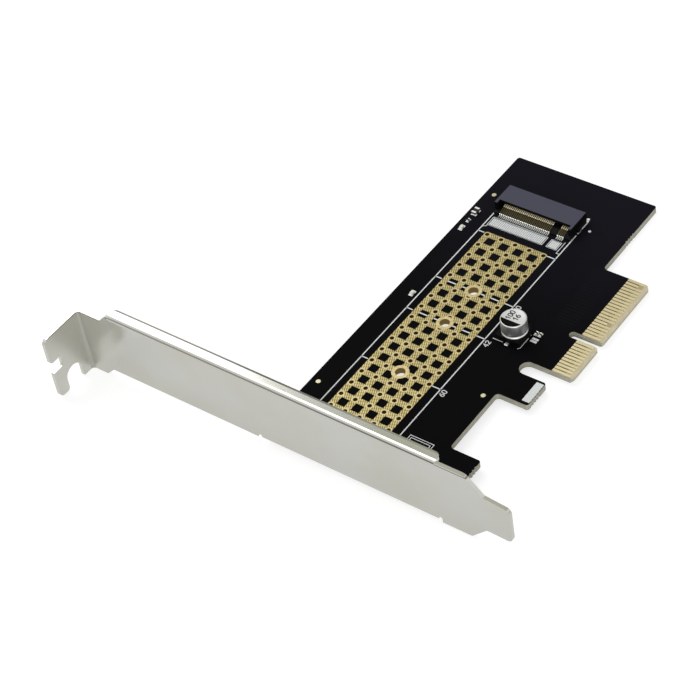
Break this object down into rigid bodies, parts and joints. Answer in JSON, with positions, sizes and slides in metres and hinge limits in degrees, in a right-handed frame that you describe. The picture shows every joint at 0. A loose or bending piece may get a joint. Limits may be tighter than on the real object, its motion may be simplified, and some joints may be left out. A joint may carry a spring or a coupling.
{
  "type": "nvme adapter card",
  "caption": "Expansion card that carries an M.2 drive: black board with gold heat grid, edge contacts, drive socket, capacitor and a full-height folded steel slot bracket.",
  "frame": {"origin": "middle of the edge connector's key notch, at the tips of the contacts, on the component side's face", "axes": "+X from the bracket along the card to its far end, +Y from the contacts towards the bracket's screw tab, +Z out of the component side"},
  "size_m": [0.1174, 0.1194, 0.0209],
  "materials": {
    "solder_mask": "black solder mask over laminate, satin",
    "bare_gold": "gold-plated copper, satin",
    "bracket_steel": "zinc-plated sheet steel, satin",
    "screw_steel": "nickel-plated, bright",
    "socket_plastic": "black moulded high-temperature plastic",
    "pin_gold": "gold-flashed spring metal",
    "solder_tin": "tinned",
    "can_aluminium": "drawn aluminium, satin",
    "base_plastic": "black moulded plastic",
    "chip_black": "resistor coat, dark",
    "chip_tan": "ceramic, tan",
    "led_carrier": "white carrier",
    "led_lens": "clear resin"
  },
  "bodies": {
    "root": {"circuit_board": "solder_mask", "thermal_grid_top": "bare_gold", "thermal_pad_bottom": "bare_gold", "drive_hole_barrels": "bare_gold", "edge_contacts_top": "bare_gold", "edge_contacts_bottom": "bare_gold", "slot_bracket": "bracket_steel", "bracket_screws": "screw_steel", "socket_housing": "socket_plastic", "socket_upper_pins": "pin_gold", "socket_lower_pins": "pin_gold", "socket_hold_downs": "solder_tin", "socket_lands": "solder_tin", "capacitor_can": "can_aluminium", "capacitor_base": "base_plastic", "capacitor_leads": "solder_tin", "component_lands": "solder_tin", "led_bases": "led_carrier", "led_lenses": "led_lens", "led_terminals": "solder_tin", "resistor_bodies": "chip_black", "resistor_end_caps": "solder_tin", "chip_capacitor_body": "chip_tan", "chip_capacitor_end_caps": "solder_tin", "fiducial_marks": "bare_gold"}
  },
  "joints": []
}
